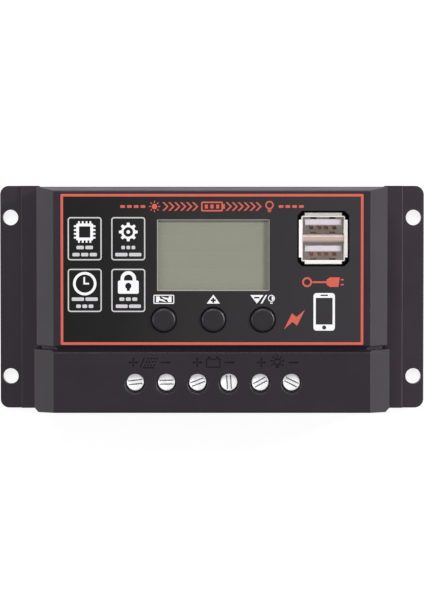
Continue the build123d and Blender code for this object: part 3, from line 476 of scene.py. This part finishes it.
def flat_piece(name, shapes, material, z, root=PRINT_ROOT):
    """A piece of flat shapes, each an outline and its holes, that stands a little above z."""
    bm = bmesh.new()
    for loops in shapes:
        flat = [[Vector((px * MM, py * MM, 0)) for px, py in loop] for loop in loops]
        points = [p for loop in flat for p in loop]
        bottom = [bm.verts.new((p.x, p.y, z - root)) for p in points]
        top = [bm.verts.new((p.x, p.y, z + PRINT_HEIGHT)) for p in points]
        for a, b, c in tessellate_polygon(flat):
            bm.faces.new((top[a], top[b], top[c]))
            bm.faces.new((bottom[c], bottom[b], bottom[a]))
        start = 0
        for loop in flat:
            count = len(loop)
            for k in range(count):
                a, b = start + k, start + (k + 1) % count
                bm.faces.new((bottom[a], bottom[b], top[b], top[a]))
            start += count
    bmesh.ops.recalc_face_normals(bm, faces=bm.faces)
    return finished(name, bm, material, "housing")


def finished(name, bm, material, body):
    """Makes the mesh an object with its material, slot and body."""
    mesh = bpy.data.meshes.new(name)
    bm.to_mesh(mesh)
    bm.free()
    mesh.materials.append(material)
    piece = bpy.data.objects.new(name, mesh)
    bpy.context.scene.collection.objects.link(piece)
    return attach(piece, body)


LABEL_LOW, LABEL_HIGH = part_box("face_label")
LABEL_TOP = LABEL_HIGH.z
LEFT, RIGHT = LABEL_LOW.x / MM, LABEL_HIGH.x / MM
BOTTOM, TOP = LABEL_LOW.y / MM, LABEL_HIGH.y / MM
CENTRE_Y = (BOTTOM + TOP) / 2


def on_label(name, shapes, material):
    """A print on the label."""
    return flat_piece(name, shapes, material, LABEL_TOP)


def border():
    """The red line round the face."""
    line = 0.8
    edge = 0.08
    width = RIGHT - LEFT - 2 * edge
    height = TOP - BOTTOM - 2 * edge
    on_label("label_border", [frame_shape(0, CENTRE_Y, width, height, line, 0.3)], RED_INK)


def window_edge():
    """A pale line round the display window: a painted highlight on the lens's chamfered edge."""
    width, height = 34.1, 21.7
    line = 0.3
    x, y, _ = middle("window_lens")
    lens_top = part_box("window_lens")[1].z
    shapes = [frame_shape(x, y, width, height, line)]
    flat_piece("window_edge", shapes, EDGE_HIGHLIGHT_PAINT, lens_top, root=0)


def sun_shapes(x, y, radius):
    """A disc with eight rays."""
    shapes = [[round_outline(x, y, radius * 0.48, 32)]]
    for k in range(8):
        ray = box_outline(radius * 0.83, 0, radius * 0.34, radius * 0.17)
        shapes.append([moved(ray, x, y, 45 * k)])
    return shapes


def battery_shapes(x, y, width, height, line):
    """A battery outline with its cap and three charge bars."""
    shapes = [frame_shape(x, y, width, height, line, line)]
    shapes.append([box_outline(x + width / 2 + 0.3, y, 0.6, height * 0.45)])
    for k in (-1, 0, 1):
        shapes.append([box_outline(x + k * width * 0.26, y, width * 0.14, height - 4 * line)])
    return shapes


def lamp_shapes(x, y, radius):
    """A round lamp over the two bars of its base."""
    glass_y = y + radius * 0.25
    shapes = [ring_shape(x, glass_y, radius * 0.75, radius * 0.5)]
    shapes.append([box_outline(x, y - radius * 0.65, radius * 0.7, radius * 0.2)])
    shapes.append([box_outline(x, y - radius * 0.93, radius * 0.5, radius * 0.16)])
    return shapes


def title_strip():
    """Panel to battery to load, drawn as a row of plain signs where the face has its heading."""
    y = TOP - 3.9
    size = 1.7
    sign_x, arrows_x, dashes_x = 17.4, 9.6, 20.9
    arrow_pitch, dash_pitch = 1.8, 2.05
    shapes = sun_shapes(-sign_x, y, size) + lamp_shapes(sign_x, y, size)
    shapes += battery_shapes(0, y, 6.6, 3.0, 0.45)
    for side in (-1, 1):
        for k in range(6):
            shapes.append(chevron_shape(side * arrows_x + (k - 2.5) * arrow_pitch, y, 2.6, 0.62))
        for k in range(4):
            shapes.append([box_outline(side * (dashes_x + dash_pitch * k), y, 1.45, 0.8, 0.25)])
    on_label("label_heading", shapes, RED_INK)


BOX_WIDTH = 10.3
BOX_HEIGHT = 13.1
BOX_LINE = 0.38
BOX_COLUMNS = (LEFT + 7.4, LEFT + 20.6)
BOX_ROWS = (TOP - 13.65, TOP - 29.3)
CAPTION_WIDTHS = ((5.0, 7.4), (4.2, 7.9), (7.9, 5.2), (5.4, 7.6))
CAPTION_HEIGHT = 1.05
CAPTION_PITCH = 2.15
SIGN_DROP = 4.5
CAPTION_DROP = 9.2


def chip_shapes(x, y):
    """A square chip with four pins on each side."""
    pin_pitch, pins_out = 1.15, 2.9
    shapes = [frame_shape(x, y, 5.1, 5.1, 0.85, 0.3)]
    for side in (-1, 1):
        for k in range(4):
            offset = pin_pitch * (k - 1.5)
            shapes.append([box_outline(x + offset, y + side * pins_out, 0.55, 0.7)])
            shapes.append([box_outline(x + side * pins_out, y + offset, 0.7, 0.55)])
    return shapes


def gear_shapes(x, y):
    """A gear wheel with a round hub."""
    teeth = 8
    root, tip = 2.15, 2.85
    outline = []
    for k in range(teeth):
        for share, radius in ((-0.30, root), (-0.17, tip), (0.17, tip), (0.30, root)):
            turn = 2 * math.pi * (k + share) / teeth
            outline.append((x + radius * math.cos(turn), y + radius * math.sin(turn)))
    return [[outline, round_outline(x, y, 1.45, 40)], [round_outline(x, y, 0.55, 24)]]


def clock_shapes(x, y):
    """A clock with its two hands at three o'clock."""
    hand = 0.5
    hands = [(-hand / 2, 2.0), (-hand / 2, -hand / 2), (1.45, -hand / 2), (1.45, hand / 2)]
    hands += [(hand / 2, hand / 2), (hand / 2, 2.0)]
    return [ring_shape(x, y, 3.55, 2.75), [moved(hands, x - 0.15, y)]]


def padlock_shapes(x, y):
    """A padlock with its keyhole."""
    body_y = y - 1.05
    keyhole = round_outline(x, body_y + 0.35, 0.95, 24, -60, 300)
    keyhole += [(x - 0.42, body_y - 1.15), (x + 0.42, body_y - 1.15)]
    base = body_y + 2.0
    arch_y = base + 0.5
    outer, inner = 2.35, 1.3
    shackle = [(x - outer, base)] + round_outline(x, arch_y, outer, 24, 180, -180)
    shackle += [(x + outer, base), (x + inner, base)]
    shackle += round_outline(x, arch_y, inner, 24, 0, 180) + [(x - inner, base)]
    return [[box_outline(x, body_y, 6.3, 4.0, 0.5), keyhole], [shackle]]


def function_boxes():
    """The four boxed signs on the left, each over two broken bars."""
    drawings = (chip_shapes, gear_shapes, clock_shapes, padlock_shapes)
    for k, (draw, widths) in enumerate(zip(drawings, CAPTION_WIDTHS)):
        x, y = BOX_COLUMNS[k % 2], BOX_ROWS[k // 2]
        box_top = y + BOX_HEIGHT / 2
        name = draw.__name__.replace("_shapes", "")
        box = frame_shape(x, y, BOX_WIDTH, BOX_HEIGHT, BOX_LINE, 0.9)
        on_label(f"box_{name}", [box], GREY_INK)
        on_label(f"sign_{name}", draw(x, box_top - SIGN_DROP), WHITE_INK)
        lines = []
        for row, width in enumerate(widths):
            line_y = box_top - CAPTION_DROP - CAPTION_PITCH * row
            lines += broken_bar(x, line_y, width, CAPTION_HEIGHT, 2 + (k + row) % 2)
        on_label(f"caption_{name}", lines, GREY_INK)


def broken_bar(x, y, width, height, count):
    """A bar in a few pieces, where the face has a caption."""
    gap = 0.45
    piece = (width - gap * (count - 1)) / count
    start = x - width / 2 + piece / 2
    return [[box_outline(start + k * (piece + gap), y, piece, height, 0.3)] for k in range(count)]


def plus_outline(x, y, size, line):
    """A plus sign."""
    a, b = size / 2, line / 2
    corners = [(a, -b), (a, b), (b, b), (b, a), (-b, a), (-b, b)]
    corners += [(-a, b), (-a, -b), (-b, -b), (-b, -a), (b, -a), (b, -b)]
    return [(x + px, y + py) for px, py in corners]


KEY_SIGN_RISE = 6.2


def key_signs():
    """The signs over the three keys: a split panel, up with plus, down with minus and a lamp."""
    places = {key: middle(f"{key}_key") for key in KEYS}
    y = places["menu"].y + KEY_SIGN_RISE
    x = places["menu"].x
    page = [frame_shape(x, y, 6.3, 2.75, 0.3, 0.35)]
    half = [(-2.35, 0.88), (-2.35, -0.88), (-1.5, -0.88), (-1.5, -0.35), (0.9, -0.88)]
    half += [(-0.35, 0.05), (-1.0, 0.05), (-1.35, 0.88)]
    page += [[moved(half, x, y)], [moved(half, x, y, 180)]]
    on_label("sign_menu", page, WHITE_INK)
    x = places["up"].x
    up = [(x - 2.0, y - 1.3), (x + 2.0, y - 1.3), (x, y + 1.4)]
    on_label("sign_up", [[up, plus_outline(x, y - 0.3, 1.5, 0.58)]], WHITE_INK)
    x = places["down"].x - 1.8
    down = [(x - 2.0, y + 1.3), (x, y - 1.3), (x + 2.0, y + 1.3)]
    slash = [(1.1, -1.3), (1.6, -1.3), (3.1, 1.3), (2.6, 1.3)]
    bulb_x = x + 4.4
    shapes = [[down, box_outline(x, y + 0.5, 1.6, 0.5)], [moved(slash, x, y)]]
    shapes.append(ring_shape(bulb_x, y + 0.3, 1.05, 0.8))
    lit_half = round_outline(bulb_x + 0.1, y + 0.3, 0.62, 20, -90, 180)
    shapes += [[lit_half], [box_outline(bulb_x, y - 1.15, 0.75, 0.32)]]
    on_label("sign_down", shapes, WHITE_INK)


LEAD_DROP = 13.2


def charging_signs():
    """The red lead with its plug, the red bolt and the white telephone, below the socket."""
    socket = middle("socket_shell")
    x, y = socket.x, socket.y - LEAD_DROP
    lead = [ring_shape(x - 4.9, y, 1.5, 0.95)]
    lead.append([box_outline(x - 1.15, y, 4.3, 0.55)])
    plug = [(1.0, -0.75), (2.0, -1.45), (4.6, -1.45), (5.0, 1.45), (2.0, 1.45), (1.0, 0.75)]
    lead.append([moved(plug, x, y)])
    for side in (-1, 1):
        lead.append([box_outline(x + 5.75, y + side * 0.75, 0.9, 0.42)])
    on_label("sign_lead", lead, RED_INK)
    bolt = [(-3.15, -3.0), (-0.75, 1.9), (0.6, 0.75), (3.15, 2.9), (0.75, -1.9), (-0.6, -0.75)]
    on_label("sign_bolt", [[moved(bolt, x - 8.7, y - 11.3)]], RED_INK)
    phone_x, phone_y = x + 0.3, y - 9.0
    screen = box_outline(phone_x, phone_y + 0.2, 5.1, 8.1)
    slot = box_outline(phone_x, phone_y + 5.0, 2.3, 0.42, 0.2)
    button = round_outline(phone_x, phone_y - 4.75, 0.62, 24)
    body = box_outline(phone_x, phone_y, 6.5, 11.4, 0.95)
    on_label("sign_telephone", [[body, screen, slot, button]], WHITE_INK)


def prism(bm, outline, sides, place):
    """Adds a prism: an outline in two of the axes, drawn out between two values of the third."""
    ends = [
        [bm.verts.new([c * MM for c in place(a, b, side)]) for a, b in outline] for side in sides
    ]
    count = len(outline)
    for k in range(count):
        j = (k + 1) % count
        bm.faces.new((ends[0][k], ends[0][j], ends[1][j], ends[1][k]))
    bm.faces.new(ends[0][::-1])
    bm.faces.new(ends[1])


def socket_springs():
    """The pressed fingers in the walls of the ports that grip a plug."""
    centre = middle("socket_shell")
    fingers = ((6.55, -1), (1.43, 1), (-6.55, 1))
    offset, half_width, reach = 2.9, 0.9, 0.6
    rise = (31.3, 30.9, 29.6, 28.2)
    bm = bmesh.new()
    for wall, inwards in fingers:
        root, tip = centre.y + wall - inwards * 0.1, centre.y + wall + inwards * reach
        outline = list(zip((root, tip, tip, root), rise))
        for side in (-1, 1):
            x = centre.x + side * offset
            prism(bm, outline, (x - half_width, x + half_width), lambda y, z, px: (px, y, z))
    bmesh.ops.recalc_face_normals(bm, faces=bm.faces)
    finished("socket_springs", bm, SPRING_STEEL, "housing")


def slot_edges():
    """Painted shade on the slopes of each screw's slot, as thin strips that turn with it."""
    angles = (6.0, 1.0, 21.0, 93.0, 29.0, -26.0)
    floor, lip, depth, reach, skin = 0.42, 0.78, 0.43, 2.1, 0.02
    for pole, angle in zip(POLES, angles):
        x, y, _ = middle(f"{pole}_screw")
        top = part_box(f"{pole}_screw")[1].z / MM
        c, s = math.cos(math.radians(angle)), math.sin(math.radians(angle))
        bm = bmesh.new()
        for side in (-1, 1):
            strip = [(floor, -depth), (lip, -skin), (lip - skin, skin / 2)]
            strip.append((floor - skin, -depth + skin))
            prism(
                bm, [(side * v, h) for v, h in strip], (-reach, reach),
                lambda v, h, u: (x + c * u - s * v, y + s * u + c * v, top + h),
            )
        bmesh.ops.recalc_face_normals(bm, faces=bm.faces)
        finished(f"{pole}_slot_shade_strips", bm, SLOT_PAINTED_SHADE, f"{pole}_screw")


border()
window_edge()
slot_edges()
socket_springs()
title_strip()
function_boxes()
key_signs()
charging_signs()


# ---- Floor, light and camera --------------------------------------------------------------------
AIR_STRENGTH = 0.35
LIGHTS = (  # name, azimuth, elevation, strength and spread, with the angles in degrees
    ("key_light", 25, 30, 2.0, 10),
    ("fill_light", 100, 58, 1.0, 20),
    ("right_light", 0, 28, 0.8, 12),
    ("left_light", 180, 28, 0.7, 30),
)


def studio_floor():
    """A plain pale floor, a hair below the base so that the two never share a plane."""
    mesh = bpy.data.meshes.new("studio_floor")
    half = 6.0
    level = -0.2 * MM
    corners = [(x * half, y * half, level) for x, y in ((-1, -1), (1, -1), (1, 1), (-1, 1))]
    mesh.from_pydata(corners, [], [(0, 1, 2, 3)])
    finish = Finish(
        "floor_paper", Specular_IOR_Level=0.1, Emission_Color=grey(1.0), Emission_Strength=0.85
    )
    finish.mottle(grey(0.28), grey(0.30), 60.0)
    finish.uneven_gloss(0.85, 0.95, 40.0)
    mesh.materials.append(finish.material)
    floor = bpy.data.objects.new("studio_floor", mesh)
    bpy.context.scene.collection.objects.link(floor)


def sun(name, azimuth, elevation, strength, spread):
    """A broad, soft, distant light. Azimuth turns from +X towards +Y."""
    light = bpy.data.lights.new(name, "SUN")
    light.energy = strength
    light.angle = math.radians(spread)
    lamp = bpy.data.objects.new(name, light)
    bpy.context.scene.collection.objects.link(lamp)
    a, e = math.radians(azimuth), math.radians(elevation)
    towards = Vector((math.cos(e) * math.cos(a), math.cos(e) * math.sin(a), math.sin(e)))
    lamp.rotation_euler = towards.to_track_quat("Z", "Y").to_euler()
    lamp.location = towards * 2


def studio():
    """White air all round, and the four lights."""
    world = bpy.data.worlds.new("studio_air")
    world.use_nodes = True
    air = world.node_tree.nodes["Background"].inputs
    air["Color"].default_value = grey(1.0)
    air["Strength"].default_value = AIR_STRENGTH
    bpy.context.scene.world = world
    bpy.context.scene.view_settings.view_transform = "Standard"
    for light in LIGHTS:
        sun(*light)


CAMERA_DISTANCE = 0.8
CAMERA_TILT = 2.0
VIEW_HEIGHT = 0.1899
AIM_Y = -0.0011


def camera():
    """Straight over the face, leaning a little towards its top edge."""
    data = bpy.data.cameras.new("camera")
    data.sensor_width = 36.0
    data.lens = data.sensor_width * CAMERA_DISTANCE / VIEW_HEIGHT
    data.clip_start = 0.01
    data.clip_end = 50.0
    eye = bpy.data.objects.new("camera", data)
    bpy.context.scene.collection.objects.link(eye)
    tilt = math.radians(CAMERA_TILT)
    aim = Vector((0, AIM_Y, 0))
    offset = Vector((0, math.sin(tilt), math.cos(tilt))) * CAMERA_DISTANCE
    eye.matrix_world = Matrix.Translation(aim + offset) @ Matrix.Rotation(-tilt, 4, "X")
    bpy.context.scene.camera = eye


studio_floor()
studio()
camera()
